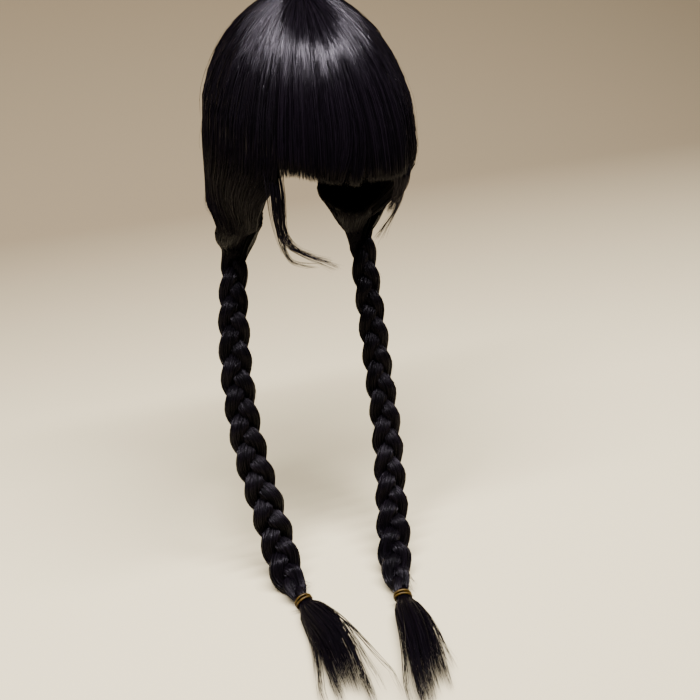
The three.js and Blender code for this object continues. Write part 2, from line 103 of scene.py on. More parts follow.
def cap_place(a, b):
    degrees = a * 360
    level = np.interp(np.minimum(degrees, 360 - degrees), CAP_HEM["angle"], CAP_HEM["level"])
    outer = b < 0.5
    share = np.where(outer, b * 2, 2 - b * 2)
    wall = np.where(outer, CAP_WALL, 0.0)
    return dome(wall, wall, degrees, share * fall_at(wall, level))


cap = wrapped_sheet("foundation_cap", columns=96, rows=60, place=cap_place)


def new_material(name):
    material = bpy.data.materials.new(name)
    material.use_nodes = True
    return material, material.node_tree.nodes, material.node_tree.links


def set_sockets(node, values):
    for socket, value in values.items():
        node.inputs[socket].default_value = value


net, nodes, links = new_material("black stretch net")
shader = nodes["Principled BSDF"]
set_sockets(shader, {"Roughness": 0.85, "Specular IOR Level": 0.2, "Sheen Weight": 0.05,
                     "Sheen Roughness": 0.5})
uv = nodes.new("ShaderNodeUVMap")
uv.uv_map = "Fibre"
stretch = nodes.new("ShaderNodeMapping")
set_sockets(stretch, {"Scale": (220, 240, 1)})
mesh_holes = nodes.new("ShaderNodeTexVoronoi")
mesh_holes.feature = "DISTANCE_TO_EDGE"
set_sockets(mesh_holes, {"Scale": 1.0, "Randomness": 0.25})
net_colour = nodes.new("ShaderNodeValToRGB")
net_colour.color_ramp.elements[0].color = (0.010, 0.0095, 0.011, 1)
net_colour.color_ramp.elements[1].color = (0.0030, 0.0030, 0.0035, 1)
net_colour.color_ramp.elements[1].position = 0.25
net_relief = nodes.new("ShaderNodeBump")
set_sockets(net_relief, {"Strength": 0.35, "Distance": 0.0004})
links.new(uv.outputs["UV"], stretch.inputs["Vector"])
links.new(stretch.outputs["Vector"], mesh_holes.inputs["Vector"])
links.new(mesh_holes.outputs["Distance"], net_colour.inputs["Fac"])
links.new(net_colour.outputs["Color"], shader.inputs["Base Color"])
links.new(mesh_holes.outputs["Distance"], net_relief.inputs["Height"])
links.new(net_relief.outputs["Normal"], shader.inputs["Normal"])
cap.data.materials.append(net)
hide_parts("wig_cap")
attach(cap, "root")

# Side hair
# Straight glossy black fibre, sewn to the cap from the crown and the parting at the back, combed down over
# each side and gathered into a low bunch. Layers of fine strands lie over a dark mass.
HAIR_SIDE, HAIR_TOP, LEAST_WALL = 19.5, 10.5, 3.1
OUTSIDE = {"point": 1.14, "shift": 2.3}
PARTING, PIECE_GAP, EDGE_EASE, SMOOTHED_ROWS = 40.0, 0.3, 0.5, 5
OUTER_SINK, INNER_SINK = 1.5, 0.3
HOLLOW_MIDDLE = np.array([0, -8, -110])
CROWN_FALLS = [0.0, 0.12, 0.25, 0.42, 0.6, 0.8, 1.0]
SIDE_EDGES = {
    "level": [-124, -136, -148, -161, -174, -185], "front": [40, 47, 52, 56.5, 61, 66],
    "back": [180, 180, 180, 178, 167, 150], "front_in": [0, 2, 5, 9.5, 15, 21],
    "left_in": [0, 1, 2.5, 5, 9, 11], "front_wall": [7, 6, 6, 7, 8, 9],
}
BUNCH_FRONT_LEAN, BUNCH_BACK_LEAN, BUNCH_HALF = 12.0, 22.0, 110.0
BUNCH = {
    "x": [62.5, 64.5, 64, 63], "y": [1, 8, 14.5, 17], "level": [-196, -208, -222, -232],
    "left_in": [8, 6, 3, 1],
    "half_across": [18.5, 20.5, 19, 14.5], "front": [35, 27, 19, 13], "back": [54, 40, 26, 14.5],
}
BUNCH_END = {"along": [0, 14], "size": [1.0, 0.6]}
GATHER_STEP, GATHER_FROM, GATHER_TO, LEAST_LEAD = 7, 0.18, 0.30, 0.05
SIDE_LOCKS, LOCK_BLUR, LOCK_LEAN, SIDE_SWAY = 46, 0.35, 0.35, 0.5
SIDE_LAYER = {"loose": 0.7, "ripple": 0.2, "cover": 0.4, "shift": 0.7}
SIDE_WAVES = {"count": 8.0, "place": [0, 0.28, 0.42, 1], "size": [0.45, 0.6, 0.3, 0.3]}
LOCK_WAVE, OWN_WAVE, OWN_WAVES = (0.15, 0.75), (0.05, 0.35), (1.2, 2.2)
EARLY_ROOT, ROOT_SHARE, ROOT_SINK = 0.1, 0.3, 2.8
LINING_START, LINING_LOOSE, LINING_PROUD = (0.3, 0.5), 0.5, 0.3
SIDE_THICK, LINING_THICK, TIP_SIZE = (0.28, 0.55), (0.35, 0.6), 0.2
SIDE_TAPER = {"place": [0, 0.2, 0.4, 0.8, 1], "size": [0.4, 0.75, 1, 1, 0.6]}
LINING_TAPER = {"place": [0, 0.75, 1], "size": [1, 1, 0.7]}
ROUTES = {
    "right": [(-64.5, 18, -239), (-74.5, -4, -277), (-81.5, -28, -317), (-85, -51, -359), (-84, -74, -402),
              (-78, -98, -446), (-73, -118, -481), (-72, -146, -503), (-68.5, -177, -507),
              (-62.5, -238, -505.5), (-65, -316, -511)],
    "left": [(64.5, 18, -239), (62, -4, -279), (60, -28, -322), (58, -52, -366), (55.5, -78, -410),
             (49.5, -104, -450), (41.5, -134, -485), (29, -170, -503.5), (22, -203, -507),
             (13, -265, -505.5), (0, -342, -511)],
}
BAND_ROW, ROUTE_STEPS = 8, 60
BRAID_FACE = np.array([-0.1, -0.9, 0.42])
SWING, WEAVE, STRAND_WIDE, STRAND_DEEP = 7.3, 5.4, 9.2, 7.5
FULLNESS = {"at": [0, 0.1, 0.3, 0.6, 0.78, 0.91, 1], "right": [0.74, 0.84, 0.95, 1.03, 1.06, 1, 0.4],
            "left": [0.74, 0.8, 0.86, 0.92, 1, 0.98, 0.4]}
HANDS = {"right": -1, "left": 1}


def unit(vectors):
    return vectors / np.maximum(np.linalg.norm(vectors, axis=-1, keepdims=True), 1e-9)


class Route:
    """Centre line of a braid and its tail, measured along its length in millimetres."""

    def __init__(self, rows):
        rows = np.array(rows, float)
        ends = np.vstack([2 * rows[0] - rows[1], rows, 2 * rows[-1] - rows[-2]])
        t = np.linspace(0, 1, ROUTE_STEPS, endpoint=False)[:, None]
        spots = []
        for p0, p1, p2, p3 in zip(ends, ends[1:], ends[2:], ends[3:]):
            d0, d1, d2 = (np.linalg.norm(q - p) ** 0.5 for p, q in ((p0, p1), (p1, p2), (p2, p3)))
            m1 = ((p1 - p0) / d0 - (p2 - p0) / (d0 + d1) + (p2 - p1) / d1) * d1
            m2 = ((p2 - p1) / d1 - (p3 - p1) / (d1 + d2) + (p3 - p2) / d2) * d1
            bend = (3 * (p2 - p1) - 2 * m1 - m2) * t ** 2 + (2 * (p1 - p2) + m1 + m2) * t ** 3
            spots.append(p1 + m1 * t + bend)
        self.spots = np.vstack(spots + [rows[-1:]])
        self.lengths = np.append(0, np.cumsum(np.linalg.norm(np.diff(self.spots, axis=0), axis=1)))
        self.band = self.lengths[BAND_ROW * ROUTE_STEPS]
        self.tangents = unit(np.gradient(self.spots, axis=0))

    def at(self, distance):
        """Centres, directions along, faces and directions across, running straight on past the ends."""
        def read(table):
            return np.stack([np.interp(distance, self.lengths, column) for column in table.T], axis=-1)

        along = unit(read(self.tangents))
        centre = read(self.spots) + along * (distance - np.clip(distance, 0, self.lengths[-1]))[..., None]
        face = unit(BRAID_FACE - along * (along @ BRAID_FACE)[..., None])
        return centre, along, face, np.cross(face, along)


routes = {side: Route(rows) for side, rows in ROUTES.items()}


def bunch_turn(share, inner):
    """Angle round the bunch: outer hair takes its outside from front to back, inner hair the rest."""
    degrees = (360 - BUNCH_HALF) - (360 - 2 * BUNCH_HALF) * share if inner else BUNCH_HALF * (2 * share - 1)
    return np.radians(degrees)


def side_rows(side, share, inset, inner):
    """Rows of points that lead hair from the crown into the braid: share runs from front to parting."""
    hand = HANDS[side]
    share = np.asarray(share, float)
    inset = np.broadcast_to(np.asarray(inset, float), share.shape)
    clear = np.array([hand * PIECE_GAP, 0, 0])
    ease = np.clip(share / EDGE_EASE, 0, 1)
    ease = ease * ease * (3 - 2 * ease)
    rows = []

    def shell(front, back, front_in, front_wall, fall=None, level=None):
        angle = hand * (front + (back - front) * share)
        edge = HAIR_SIDE - front_in
        if inner:
            wall = edge - front_wall + (LEAST_WALL - edge + front_wall) * ease + inset
            top = LEAST_WALL + inset
        else:
            wall, top = edge + (HAIR_SIDE - edge) * ease - inset, HAIR_TOP - inset
        drop = np.full(share.shape, fall) if level is None else fall_at(top, np.full(share.shape, level))
        rows.append(dome(wall, top, angle, drop, **({} if inner else OUTSIDE)) + clear)

    for fall in CROWN_FALLS:
        whole = HAIR_SIDE - LEAST_WALL
        shell(PARTING, 180, 0, whole + (SIDE_EDGES["front_wall"][0] - whole) * fall ** 3, fall=fall)
    for level, front, back, front_in, left_in, wall in zip(*SIDE_EDGES.values()):
        shell(front, back, front_in + left_in * (hand > 0), wall, level=level)
    turn = bunch_turn(share, inner)[..., None]
    forward = np.sin(turn) < 0
    lean = np.radians(hand * np.where(forward, BUNCH_FRONT_LEAN, BUNCH_BACK_LEAN))
    deep = np.concatenate([-np.sin(lean), np.cos(lean), 0 * lean], axis=-1)
    lean = np.radians(hand * BUNCH_FRONT_LEAN)
    across = hand * np.array([np.cos(lean), np.sin(lean), 0])
    for x, y, level, left_in, half_across, front, back in zip(*BUNCH.values()):
        half_deep = np.where(forward, front, back) - inset[..., None]
        middle = np.array([hand * x - left_in * (hand > 0), y, level])
        wide = (half_across - inset)[..., None]
        rows.append(middle + across * wide * np.cos(turn) + deep * half_deep * np.sin(turn))
    for distance, size in zip(*BUNCH_END.values()):
        centre, along, face, sideways = (v[0] for v in routes[side].at(np.array([float(distance)])))
        size = size * FULLNESS[side][0]
        outwards = sideways * hand * np.sign(sideways[0])
        rows.append(centre + outwards * ((SWING + STRAND_WIDE) * size - inset)[..., None] * np.cos(turn)
                    - face * ((WEAVE + STRAND_DEEP) * size - inset)[..., None] * np.sin(turn))
    rows = np.stack(rows, axis=1)
    first = len(CROWN_FALLS) - 1
    stop = first + SMOOTHED_ROWS
    before, here, after = (rows[:, first + k:stop + k] for k in (-1, 0, 1))
    rows[:, first:stop] = (before + 2 * here + after) / 4
    return rows


def along_rows(rows, place):
    """Smooth points of many lines: rows is lines by rows by 3, place is lines by steps from 0 to 1."""
    last = rows.shape[1] - 1
    x = np.clip(place, 0, 1) * last
    k = np.minimum(x.astype(int), last - 1)
    t = (x - k)[..., None]
    p0, p1, p2, p3 = (np.take_along_axis(rows, np.clip(k + j, 0, last)[..., None], axis=1)
                      for j in (-1, 0, 1, 2))
    return 0.5 * (2 * p1 + (p2 - p0) * t + (2 * p0 - 5 * p1 + 4 * p2 - p3) * t ** 2
                  + (3 * p1 - p0 - 3 * p2 + p3) * t ** 3)


def side_mass(side):
    """The dark body of one side: outer face, then inner face, closed at the front and the parting."""
    def place(a, b):
        outer = a < 0.5
        share = np.where(outer, a * 2, 2 - a * 2)
        lines = np.where(outer[:, None, None], side_rows(side, share, OUTER_SINK, False),
                         side_rows(side, share, INNER_SINK, True))
        return along_rows(lines, b[:, None])[:, 0]
    return wrapped_sheet(f"side_hair_{side}_mass", columns=96, rows=72, place=place)


def fibre_piece(name, paths, radii, outward, rng):
    """Many fine strands as one mesh: closed three-sided tubes, with a shade and a place in their UVs."""
    lines, steps = paths.shape[:2]
    along = unit(np.gradient(paths, axis=1))
    flank = unit(np.cross(along, outward))
    lift = np.cross(flank, along)
    turn = rng.uniform(0, 2 * np.pi, lines)[:, None] + np.arange(3) * 2 * np.pi / 3
    from_end = np.minimum(np.arange(steps), np.arange(steps)[::-1])
    radii = radii * np.minimum(1, TIP_SIZE + from_end)
    sideways, upwards = np.cos(turn)[:, None, :, None], np.sin(turn)[:, None, :, None]
    around = sideways * flank[:, :, None] + upwards * lift[:, :, None]
    ring = paths[:, :, None] + radii[:, :, None, None] * around
    index = np.arange(lines * steps * 3).reshape(lines, steps, 3)
    after = np.roll(index, -1, axis=2)
    quads = np.stack([index[:, :-1], index[:, 1:], after[:, 1:], after[:, :-1]], axis=-1).reshape(-1, 4)
    caps = np.concatenate([index[:, 0], index[:, -1, ::-1]])
    mesh = bpy.data.meshes.new(name)
    mesh.vertices.add(index.size)
    mesh.vertices.foreach_set("co", (ring * MM).ravel())
    corners = np.concatenate([quads.ravel(), caps.ravel()])
    mesh.loops.add(corners.size)
    mesh.loops.foreach_set("vertex_index", corners)
    mesh.polygons.add(len(quads) + len(caps))
    mesh.polygons.foreach_set("loop_start", np.concatenate(
        [np.arange(len(quads)) * 4, quads.size + np.arange(len(caps)) * 3]))
    shade = np.broadcast_to(rng.uniform(0, 1, lines)[:, None, None], index.shape).ravel()
    down = np.broadcast_to(np.linspace(0, 1, steps)[None, :, None], index.shape).ravel()
    layer = mesh.uv_layers.new(name="Fibre")
    layer.data.foreach_set("uv", np.stack([shade[corners], down[corners]], axis=-1).ravel())
    mesh.update(calc_edges=True)
    mesh.shade_smooth()
    piece = bpy.data.objects.new(name, mesh)
    bpy.context.collection.objects.link(piece)
    return piece


def combed(paths, place, start, lock, waves, rng):
    """Paths with the slight waves of combed hair, shared by a lock, and late roots sunk into the mass."""
    lines, steps = place.shape
    outward = unit(paths - HOLLOW_MIDDLE)
    locks = lock.astype(int) - lock.astype(int).min()
    phase = rng.uniform(0, 2 * np.pi, locks.max() + 1)[locks]
    size = rng.uniform(*LOCK_WAVE, locks.max() + 1)[locks]
    wave = size[:, None] * np.sin(2 * np.pi * waves["count"] * place + phase[:, None])
    own = rng.uniform(*OWN_WAVES, (lines, 1)) * waves["count"]
    own_size, own_phase = rng.uniform(*OWN_WAVE, (lines, 1)), rng.uniform(0, 2 * np.pi, (lines, 1))
    wave = wave + own_size * np.sin(2 * np.pi * own * place + own_phase)
    wave = wave * np.interp(place, waves["place"], waves["size"])
    root = np.clip(1 - np.linspace(0, 1, steps) / ROOT_SHARE, 0, 1) ** 2 * (start[:, None] > EARLY_ROOT)
    return paths + outward * (wave - ROOT_SINK * root)[..., None], outward


def spread_out(rng, count):
    """Shares from 0 to 1 in even steps, each at a random place within its step."""
    return (np.arange(count) + rng.uniform(0, 1, count)) / count


def layer_depth(rng, count, layer, phase):
    """How deep strands lie: loosely at random, in ripples from lock to lock."""
    ripple = layer["ripple"] * (1 + np.cos(phase))
    return np.abs(rng.normal(0, layer["loose"], count)) + ripple + layer["cover"]


def strand_starts(rng, count, early_share, latest):
    """Where strands begin on their rows: the early ones near the crown, the others further down."""
    early = rng.uniform(size=count) < early_share
    return np.where(early, rng.uniform(0, EARLY_ROOT, count), rng.uniform(EARLY_ROOT, latest, count))


def from_start(start, steps):
    """Places along each strand, from its start to the end of its rows."""
    return start[:, None] + (1 - start)[:, None] * np.linspace(0, 1, steps)


def thickness(rng, count, thick, place, taper):
    """Radii along strands: each strand has its own, and a table thins it towards its ends."""
    return rng.uniform(*thick, count)[:, None] * np.interp(place, taper["place"], taper["size"])


def side_strands(side, rng, count, steps):
    """Fine strands over one side, those of a lock leaning together: the combed part and the part drawn into
    the bunch.
    """
    share = spread_out(rng, count)
    lock = np.round(share * SIDE_LOCKS + rng.normal(0, LOCK_BLUR, count))
    phase = 2 * np.pi * share * (SIDE_LOCKS // 2) + SIDE_LAYER["shift"]
    depth = layer_depth(rng, count, SIDE_LAYER, phase)
    rows = side_rows(side, np.clip(share + (lock / SIDE_LOCKS - share) * LOCK_LEAN, 0, 1), depth, False)
    start = strand_starts(rng, count, early_share=0.6, latest=0.28)
    gather = rng.uniform(GATHER_FROM, GATHER_TO, count)
    start = np.minimum(start, gather - LEAST_LEAD)
    place = np.concatenate([np.linspace(start, gather, GATHER_STEP, axis=1, endpoint=False),
                            np.linspace(gather, np.ones(count), steps - GATHER_STEP, axis=1)], axis=1)
    paths = along_rows(rows, place)
    sway = np.sin(np.linspace(0, np.pi, steps))[None, :, None]
    paths = paths + SIDE_SWAY * rng.normal(0, 1, (count, 1, 3)) * sway
    paths, outward = combed(paths, place, start, lock, SIDE_WAVES, rng)
    thick = thickness(rng, count, SIDE_THICK, place, SIDE_TAPER)
    runs = {"strands": slice(None, GATHER_STEP + 2), "gathered_painted_shade": slice(GATHER_STEP, None)}
    return [fibre_piece(f"side_hair_{side}_{part}", paths[:, run], thick[:, run], outward[:, run], rng)
            for part, run in runs.items()]


def lining_strands(side, rng, count, steps):
    """Strands of the underside, which show inside the wig below the cap."""
    share = spread_out(rng, count)
    rows = side_rows(side, share, np.abs(rng.normal(0, LINING_LOOSE, count)) - LINING_PROUD, True)
    place = from_start(rng.uniform(*LINING_START, count), steps)
    paths = along_rows(rows, place)
    outward = unit(HOLLOW_MIDDLE - paths)
    thick = thickness(rng, count, LINING_THICK, place, LINING_TAPER)
    return fibre_piece(f"side_hair_{side}_lining", paths, thick, outward, rng)


def fibre_material(name, smoothest, roughest, glint):
    """Black fibre, each strand with its own depth of black and its own gloss."""
    material, nodes, links = new_material(name)
    shader = nodes["Principled BSDF"]
    set_sockets(shader, {"IOR": 1.5, "Specular IOR Level": glint, "Specular Tint": (0.94, 0.85, 1.0, 1)})
    uv = nodes.new("ShaderNodeUVMap")
    uv.uv_map = "Fibre"
    parts = nodes.new("ShaderNodeSeparateXYZ")
    tint = nodes.new("ShaderNodeValToRGB")
    tint.color_ramp.elements[0].color = (0.0005, 0.0004, 0.0006, 1)
    tint.color_ramp.elements[1].color = (0.0030, 0.0020, 0.0035, 1)
    gloss = nodes.new("ShaderNodeMapRange")
    set_sockets(gloss, {"To Min": smoothest, "To Max": roughest})
    links.new(uv.outputs["UV"], parts.inputs["Vector"])
    links.new(parts.outputs["X"], tint.inputs["Fac"])
    links.new(tint.outputs["Color"], shader.inputs["Base Color"])
    links.new(parts.outputs["X"], gloss.inputs["Value"])
    links.new(gloss.outputs["Result"], shader.inputs["Roughness"])
    return material


hair = fibre_material("glossy black fibre", 0.12, 0.27, 0.2)
# Painted shade: a copy of the fibre with far less gloss, for the side hair from about the widest ring down,
# the lining and the bunch, standing in for the self-shadow of the hair there.
gathered_painted_shade = fibre_material("gathered black fibre", 0.3, 0.46, 0.036)

mass_hair, nodes, links = new_material("black fibre mass")
shader = nodes["Principled BSDF"]
set_sockets(shader, {"Roughness": 0.5, "Specular IOR Level": 0.02})
uv = nodes.new("ShaderNodeUVMap")
uv.uv_map = "Fibre"
stretch = nodes.new("ShaderNodeMapping")
set_sockets(stretch, {"Scale": (420, 3, 1)})
streaks = nodes.new("ShaderNodeTexNoise")
set_sockets(streaks, {"Scale": 1.0, "Detail": 3.0, "Roughness": 0.6})
tint = nodes.new("ShaderNodeValToRGB")
tint.color_ramp.elements[0].color = (0.0005, 0.0004, 0.0006, 1)
tint.color_ramp.elements[1].color = (0.0020, 0.0015, 0.0022, 1)
grain = nodes.new("ShaderNodeBump")
set_sockets(grain, {"Strength": 0.6, "Distance": 0.0006})
links.new(uv.outputs["UV"], stretch.inputs["Vector"])
links.new(stretch.outputs["Vector"], streaks.inputs["Vector"])
links.new(streaks.outputs["Fac"], tint.inputs["Fac"])
links.new(tint.outputs["Color"], shader.inputs["Base Color"])
links.new(streaks.outputs["Fac"], grain.inputs["Height"])
links.new(grain.outputs["Normal"], shader.inputs["Normal"])


def dress(piece, material, slot, *replaced):
    """Give a piece its finish, hide the solid that it stands for, if any, and hang it on the body that it
    rides on.
    """
    piece.data.materials.append(material)
    if replaced:
        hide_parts(*replaced)
    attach(piece, "root")


for seed, side in enumerate(HANDS):
    dress(side_mass(side), mass_hair, "hair", f"side_hair_{side}")
    rng = np.random.default_rng(11 + seed)
    combed_part, gathered_part = side_strands(side, rng, count=1320, steps=17)
    dress(combed_part, hair, "hair")
    # The lower part and the lining take the duller copy of the fibre, which is painted shade.
    dress(gathered_part, gathered_painted_shade, "hair")
    rng = np.random.default_rng(21 + seed)
    dress(lining_strands(side, rng, count=300, steps=13), gathered_painted_shade, "hair")

# Fringe
# A thick blunt fringe of the same fibre, combed forward from the crown and cut straight across, with two
# slanting partings near the middle where a narrow lock hangs lower.
FRINGE_HEM = {"angle": [-40, -31, -24, -16, -8, -4, 2, 8, 15, 24, 32, 40],
              "level": [-116, -114, -116, -118, -119, -121, -123, -121, -122, -125, -127, -127]}
FRINGE_LEAN = {"above": [-40, -14, 1, 1.6, 8.6, 9.2, 16, 40],
               "hem": [-39.5, -14.5, -7.4, -3.0, 2.2, 8.6, 16, 39]}
FRINGE_SPLIT, FRINGE_HEM_WALL, FRINGE_HALF, FRINGE_ROWS = -88.0, 5.0, 39.6, 11
FRINGE_MASS_HALF, FRINGE_MASS_RISE, FRINGE_SINK = 39.0, 22.0, 1.4
FRINGE_LOCK, FRINGE_LOCK_BLUR, FRINGE_FAN = 3.0, 0.3, 0.8
FRINGE_LAYER = {"loose": 1.0, "ripple": 0.3, "cover": 0.4, "waves": 60}
RAGGED_HEM = {"spread": 1.6, "short_share": 0.25, "short": 3.0, "longer": 1.2}
FRINGE_WAVES = {"count": 3.0, "place": [0, 0.5, 0.75, 1], "size": [1, 1, 0.5, 0.5]}
FRINGE_THICK = (0.26, 0.5)
FRINGE_TAPER = {"place": [0, 0.2, 0.5, 0.9, 1], "size": [0.4, 0.75, 1, 1, 0.5]}


def fringe_rows(angle, inset, hem, inner=False):
    """Rows of points that lead lines of the fringe from the crown to the hem, parting as they come down."""
    rows = []
    tip = np.interp(angle, FRINGE_LEAN["above"], FRINGE_LEAN["hem"])
    grown = inset - FRINGE_HEM_WALL if inner else -inset
    last, split = fall_at(HAIR_TOP + grown, hem), fall_at(HAIR_TOP + grown, FRINGE_SPLIT)
    for share in np.linspace(0, 1, FRINGE_ROWS):
        fall = last * share
        parted = np.clip((fall - split) / (last - split), 0, 1)
        spots = dome(HAIR_SIDE + grown, HAIR_TOP + grown, angle + (tip - angle) * parted, fall, **OUTSIDE)
        rows.append(spots + np.array([0, -2 * PIECE_GAP, 0]))
    return np.stack(rows, axis=1)


def fringe_place(a, b):
    outer = b < 0.5
    share = np.where(outer, b * 2, 2 - b * 2)
    angle = -FRINGE_MASS_HALF + 2 * FRINGE_MASS_HALF * a
    hem = np.interp(angle, FRINGE_HEM["angle"], FRINGE_HEM["level"]) + FRINGE_MASS_RISE
    lines = np.where(outer[:, None, None], fringe_rows(angle, FRINGE_SINK, hem),
                     fringe_rows(angle, 0.0, hem, inner=True))
    return along_rows(lines, share[:, None])[:, 0]


def fringe_strands(rng, count, steps):
    """Fine strands from the crown to a ragged hem, some of them starting lower, those of a lock together."""
    angle = -FRINGE_HALF + 2 * FRINGE_HALF * spread_out(rng, count)
    tip = np.interp(angle, FRINGE_LEAN["above"], FRINGE_LEAN["hem"])
    hem = np.interp(tip, FRINGE_HEM["angle"], FRINGE_HEM["level"])
    ragged = np.abs(rng.normal(0, RAGGED_HEM["spread"], count))
    short = rng.uniform(size=count) < RAGGED_HEM["short_share"]
    hem = hem + ragged * np.where(short, RAGGED_HEM["short"], 1.0) - RAGGED_HEM["longer"]
    depth = layer_depth(rng, count, FRINGE_LAYER, np.radians(angle) * FRINGE_LAYER["waves"])
    start = strand_starts(rng, count, early_share=0.5, latest=0.5)
    place = from_start(start, steps)
    paths = along_rows(fringe_rows(angle, depth, hem), place)
    fan = np.linspace(0, 1, steps)[None, :, None] ** 2
    paths = paths + rng.normal(0, FRINGE_FAN, (count, 3))[:, None] * fan
    lock = np.round(angle / FRINGE_LOCK + rng.normal(0, FRINGE_LOCK_BLUR, count))
    paths, outward = combed(paths, place, start, lock, FRINGE_WAVES, rng)
    thick = thickness(rng, count, FRINGE_THICK, place, FRINGE_TAPER)
    return fibre_piece("fringe_strands", paths, thick, outward, rng)


fringe_mass = wrapped_sheet("fringe_mass", columns=60, rows=80, place=fringe_place)
dress(fringe_mass, mass_hair, "hair", "fringe")
fringe_hair = fibre_material("black fringe fibre", 0.12, 0.27, 0.085)
dress(fringe_strands(np.random.default_rng(31), count=2200, steps=13), fringe_hair, "hair")

# Braids
# Each plait is three equal strands of the gathered hair, crossed in turn, one from each side in about three
# centimetres, and pressed flat where they meet. Fine fibres run along each strand, and on from the bunch.
BRAID_PITCH, STRAND_FLAT, STRAND_ROOT = 84.0, STRAND_DEEP / STRAND_WIDE, 14.0
PRESS, STRAND_GAP, BRAID_CLEAR = 7.0, 0.15, 0.6
CORE_FILL, FIBRE_FILL, FIBRE_UNEVEN = 0.94, 0.99, 0.018
FIBRE_DIVE, FIBRE_DIVE_CURVE, FIBRE_END_THIN = 0.1, 6, 4
FIBRE_HALF, FIBRE_PAST_BAND, BRAID_THICK = (38, 62), 3, (0.28, 0.5)
WANDER, WANDER_LENGTH, WAVE_PHASE = 0.12, (18, 40), (0, 6.3)
LEAD_ROWS, LEAD_OUTER, LEAD_DEPTH = slice(-6, -2), 0.6, (0.2, 1.0)
LEAD_START, LEAD_STRETCH, LEAD_UNEVEN = (0, 0.2), (0.8, 1.3), 0.015
LEAD_DIVE, LEAD_DIVE_CURVE = 0.12, 4
LEAD_ALONG = np.array([8.0, 18.0, 30.0, 44.0, 60.0])
LEAD_TAPER = {"place": [0, 0.2, 0.85, 1], "size": [0.5, 1, 1, 0.4]}
plait = fibre_material("plaited black fibre", 0.27, 0.42, 0.09)
FLOOR = cad_box[0][2] / MM


def strand_middle(turns, strand):
    """Where the middle of a strand lies across the braid."""
    phase = 2 * np.pi * (turns + strand / 3)
    return np.stack([SWING * np.sin(phase), WEAVE / STRAND_FLAT * np.sin(2 * phase)], axis=-1)


def strand_points(side, strand, distance, direction, fill):
    """Points of one strand: distance down the braid and direction round the strand, arrays of one shape."""
    turns = distance / BRAID_PITCH
    middle = strand_middle(turns, strand)
    out = np.stack([np.cos(direction), np.sin(direction)], axis=-1)
    press = np.full(distance.shape, STRAND_WIDE ** -PRESS)
    for other in {1, 2, 3} - {strand}:
        away = strand_middle(turns, other) - middle
        room = np.linalg.norm(away, axis=-1) / 2 - STRAND_GAP
        facing = np.maximum(np.sum(out * unit(away), axis=-1), 1e-3)
        press = press + (room / facing) ** -PRESS
    spot = middle + out * (press ** (-1 / PRESS) * fill)[..., None]
    route = routes[side]
    centre, along, face, across = route.at(distance)
    size = np.interp(distance / route.band, FULLNESS["at"], FULLNESS[side])
    sideways, deep = size * spot[..., 0], size * STRAND_FLAT * spot[..., 1]
    spots = centre + across * sideways[..., None] + face * deep[..., None]
    spots[..., 2] = np.maximum(spots[..., 2], FLOOR + BRAID_CLEAR)
    return spots


def lead_strands(side, rng, count, steps):
    """Strands that run from the bunch over the start of the plait, each along the strand it falls to."""
    share, outer = rng.uniform(0, 1, count), rng.uniform(size=count) < LEAD_OUTER
    depth = rng.uniform(*LEAD_DEPTH, count)
    rows = np.where(outer[:, None, None], side_rows(side, share, depth, False),
                    side_rows(side, share, depth, True))
    turn = np.where(outer, bunch_turn(share, False), bunch_turn(share, True))
    sideways = routes[side].at(np.array([0.0]))[3][0]
    around = np.arctan2(-np.sin(turn), HANDS[side] * np.sign(sideways[0]) * np.cos(turn))
    middles = np.stack([strand_middle(0.0, k) for k in (1, 2, 3)])
    nearest = 1 + (np.stack([np.cos(around), np.sin(around)], axis=-1) @ middles.T).argmax(axis=1)
    distance = LEAD_ALONG * rng.uniform(*LEAD_STRETCH, count)[:, None]
    dive = LEAD_DIVE * np.linspace(0, 1, len(LEAD_ALONG)) ** LEAD_DIVE_CURVE
    fill = 1.0 + rng.normal(0, LEAD_UNEVEN, count)[:, None] - dive
    onwards = np.zeros((count, len(LEAD_ALONG), 3))
    for k in (1, 2, 3):
        own = nearest == k
        direction = np.broadcast_to(around[own, None], distance[own].shape)
        onwards[own] = strand_points(side, k, distance[own], direction, fill[own])
    rows = np.concatenate([rows[:, LEAD_ROWS], onwards], axis=1)
    place = from_start(rng.uniform(*LEAD_START, count), steps)
    paths = along_rows(rows, place)
    thick = thickness(rng, count, BRAID_THICK, place, LEAD_TAPER)
    return fibre_piece(f"braid_{side}_lead_in", paths, thick, unit(paths - paths.mean(axis=0)), rng)


def strand_core(side, strand):
    """The dark core of one strand, filled nearly out to its surface."""
    def place(a, b):
        distance = -STRAND_ROOT + (routes[side].band + STRAND_ROOT) * b
        return strand_points(side, strand, distance, a * 2 * np.pi, np.full(a.shape, CORE_FILL))
    return wrapped_sheet(f"braid_{side}_strand_{strand}_core", columns=18, rows=120, place=place)


def strand_fibres(side, strand, rng, count, steps):
    """Fine fibres on one strand, each running along it for some centimetres and diving in at both ends."""
    band = routes[side].band
    direction = rng.permutation(spread_out(rng, count) * 2 * np.pi)
    middle = -STRAND_ROOT + (band + STRAND_ROOT) * spread_out(rng, count)
    half = rng.uniform(*FIBRE_HALF, count)
    first = np.maximum(middle - half, -STRAND_ROOT)
    last = np.minimum(middle + half, band + FIBRE_PAST_BAND)
    distance = np.linspace(first, last, steps, axis=1)
    length = rng.uniform(*WANDER_LENGTH, count)[:, None]
    phase = rng.uniform(*WAVE_PHASE, count)[:, None]
    wander = direction[:, None] + WANDER * np.sin(distance / length + phase)
    dive = np.abs(np.linspace(-1, 1, steps)) ** FIBRE_DIVE_CURVE * FIBRE_DIVE
    fill = FIBRE_FILL + rng.normal(0, FIBRE_UNEVEN, count)[:, None] - dive
    paths = strand_points(side, strand, distance, wander, fill)
    core = strand_points(side, strand, distance, wander, 0 * fill)
    thick = rng.uniform(*BRAID_THICK, count)[:, None] * (1 - FIBRE_END_THIN * dive)
    return fibre_piece(f"braid_{side}_strand_{strand}_fibres", paths, thick, unit(paths - core), rng)


